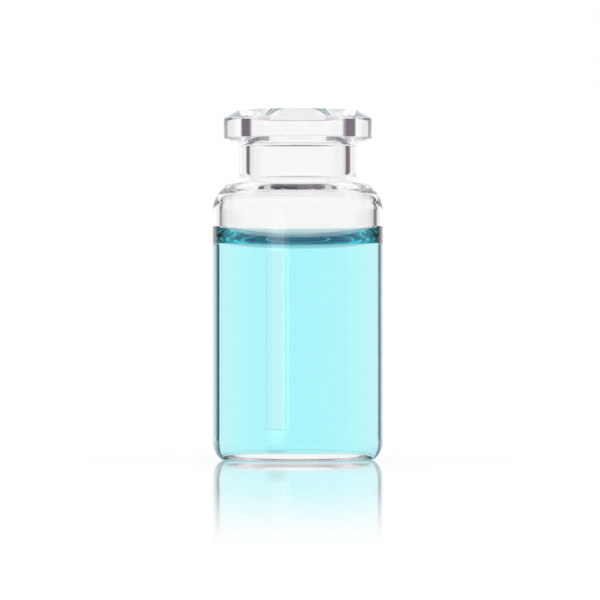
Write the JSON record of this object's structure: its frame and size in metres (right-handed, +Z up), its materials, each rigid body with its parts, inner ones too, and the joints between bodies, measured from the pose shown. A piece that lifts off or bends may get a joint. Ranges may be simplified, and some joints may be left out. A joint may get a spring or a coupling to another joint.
{
  "type": "glass sample vial",
  "caption": "Clear glass crimp-top sample vial with a bevelled flange, short neck, rounded shoulder and flat base, nearly filled with a pale blue solution.",
  "frame": {"origin": "on the vial's axis, in the plane of the ring it stands on", "axes": "+Z up along the axis of the vial, towards its mouth; X and Y are equal by symmetry"},
  "size_m": [0.0226, 0.0226, 0.0461],
  "materials": {
    "clear_glass": "clear, colourless, fire-polished borosilicate tube glass",
    "blue_solution": "clear pale blue water-based solution, still, with a curved edge where it wets the wall"
  },
  "bodies": {
    "root": {"vial_glass": "clear_glass", "sample_liquid": "blue_solution"}
  },
  "joints": []
}
